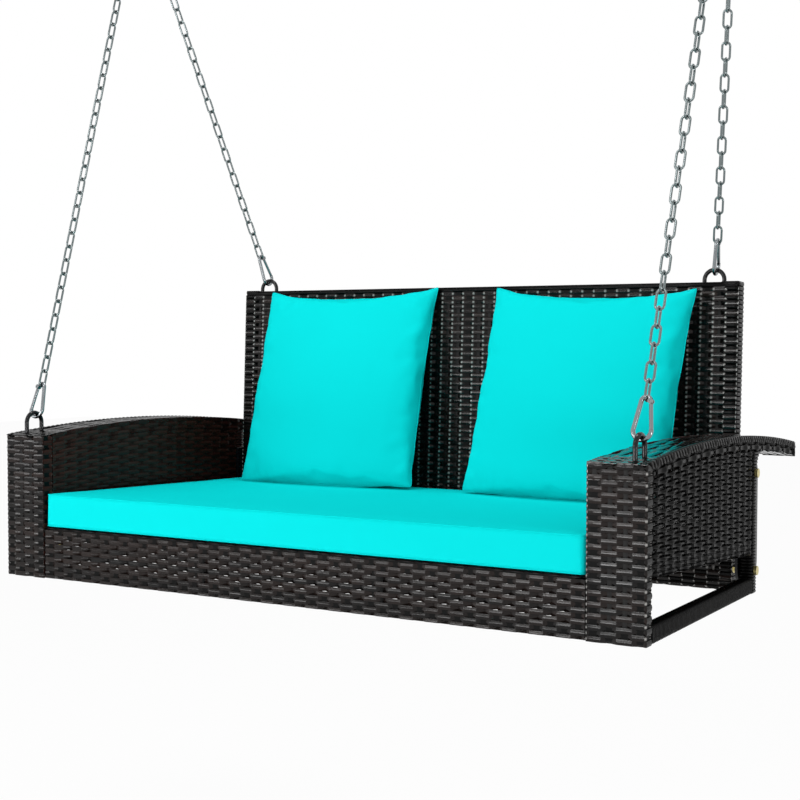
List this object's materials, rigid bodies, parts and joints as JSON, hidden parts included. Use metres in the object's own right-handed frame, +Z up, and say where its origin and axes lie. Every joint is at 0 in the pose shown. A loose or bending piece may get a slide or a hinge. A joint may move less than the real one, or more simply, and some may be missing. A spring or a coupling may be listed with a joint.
{
  "type": "hanging porch swing seat",
  "caption": "Woven two-seat porch swing with arched arms, turquoise seat cushion and pillows, hung on chains with snap hooks from ceiling hangers.",
  "frame": {"origin": "under the middle of the arms, level with the lowest edge of the back", "axes": "+X to the seat's right, seen from its front; -Y towards its front; +Z up to the ceiling hangers"},
  "size_m": [1.32, 0.786, 1.4274],
  "materials": {
    "woven_strip": "glossy flat strip, woven",
    "frame_paint": "black powder coat",
    "black_rod": "gloss black coat",
    "yellow_zinc": "yellow zinc plate",
    "chain_zinc": "bright zinc plate",
    "hook_zinc": "bright zinc plate",
    "hanger_zinc": "bright zinc plate",
    "cushion_cloth": "plain woven outdoor cloth",
    "pillow_cloth": "plain woven outdoor cloth"
  },
  "bodies": {
    "ceiling": {"left_hanger": "hanger_zinc", "right_hanger": "hanger_zinc", "hanger_pins": "hanger_zinc", "hanger_nuts": "hanger_zinc"},
    "swing": {"left_link_plate": "hanger_zinc", "right_link_plate": "hanger_zinc", "front_left_chain": "chain_zinc", "front_right_chain": "chain_zinc", "back_left_chain": "chain_zinc", "back_right_chain": "chain_zinc", "front_left_hook": "hook_zinc", "front_right_hook": "hook_zinc", "back_left_hook": "hook_zinc", "back_right_hook": "hook_zinc", "hook_pins": "hook_zinc", "front_left_eye": "black_rod", "front_right_eye": "black_rod", "back_left_eye": "black_rod", "back_right_eye": "black_rod", "left_arm_frame": "frame_paint", "right_arm_frame": "frame_paint", "left_post_weave": "woven_strip", "right_post_weave": "woven_strip", "left_top_weave": "woven_strip", "right_top_weave": "woven_strip", "left_side_weave": "woven_strip", "right_side_weave": "woven_strip", "left_inner_weave": "woven_strip", "right_inner_weave": "woven_strip", "left_rail_weave": "woven_strip", "right_rail_weave": "woven_strip", "seat_frame": "frame_paint", "deck_weave": "woven_strip", "apron_weave": "woven_strip", "back_frame": "frame_paint", "back_weave": "woven_strip", "back_edge_weave": "woven_strip", "left_back_bracket": "frame_paint", "right_back_bracket": "frame_paint", "upright_bolts": "yellow_zinc", "upright_nuts": "yellow_zinc", "foot_screws": "yellow_zinc", "seat_bolts": "yellow_zinc", "seat_nuts": "yellow_zinc"},
    "front_left_gate_body": {"front_left_gate": "hook_zinc"},
    "front_right_gate_body": {"front_right_gate": "hook_zinc"},
    "back_left_gate_body": {"back_left_gate": "hook_zinc"},
    "back_right_gate_body": {"back_right_gate": "hook_zinc"},
    "cushion": {"seat_cushion": "cushion_cloth"},
    "pillow_left": {"left_pillow": "pillow_cloth"},
    "pillow_right": {"right_pillow": "pillow_cloth"}
  },
  "joints": [
    {"name": "swing_pivot", "type": "hinge", "parent": "ceiling", "child": "swing", "pos_m": [0, -0.012, 1.38945], "axis": [1, 0, 0], "range_deg": [-22, 22]},
    {"name": "front_left_gate_hinge", "type": "hinge", "parent": "swing", "child": "front_left_gate_body", "pos_m": [-0.61457, -0.32814, 0.37133], "axis": [0, -0.955, 0.2966], "range_deg": [0, 20], "stiffness_Nm_per_rad": 0.02, "springref_deg": -17.19},
    {"name": "front_right_gate_hinge", "type": "hinge", "parent": "swing", "child": "front_right_gate_body", "pos_m": [0.61457, -0.32814, 0.37133], "axis": [0, 0.955, -0.2966], "range_deg": [0, 20], "stiffness_Nm_per_rad": 0.02, "springref_deg": -17.19},
    {"name": "back_left_gate_hinge", "type": "hinge", "parent": "swing", "child": "back_left_gate_body", "pos_m": [-0.52027, 0.2687, 0.64389], "axis": [-0.9895, 0.0496, -0.1357], "range_deg": [0, 20], "stiffness_Nm_per_rad": 0.02, "springref_deg": -17.19},
    {"name": "back_right_gate_hinge", "type": "hinge", "parent": "swing", "child": "back_right_gate_body", "pos_m": [0.52027, 0.2687, 0.64389], "axis": [-0.9895, -0.0496, 0.1357], "range_deg": [0, 20], "stiffness_Nm_per_rad": 0.02, "springref_deg": -17.19},
    {"name": "cushion_lift", "type": "slide", "parent": "swing", "child": "cushion", "axis": [0, 0, 1], "range_m": [0, 0.25]},
    {"name": "pillow_left_lift", "type": "slide", "parent": "cushion", "child": "pillow_left", "axis": [0, 0, 1], "range_m": [0, 0.3]},
    {"name": "pillow_right_lift", "type": "slide", "parent": "cushion", "child": "pillow_right", "axis": [0, 0, 1], "range_m": [0, 0.3]}
  ]
}
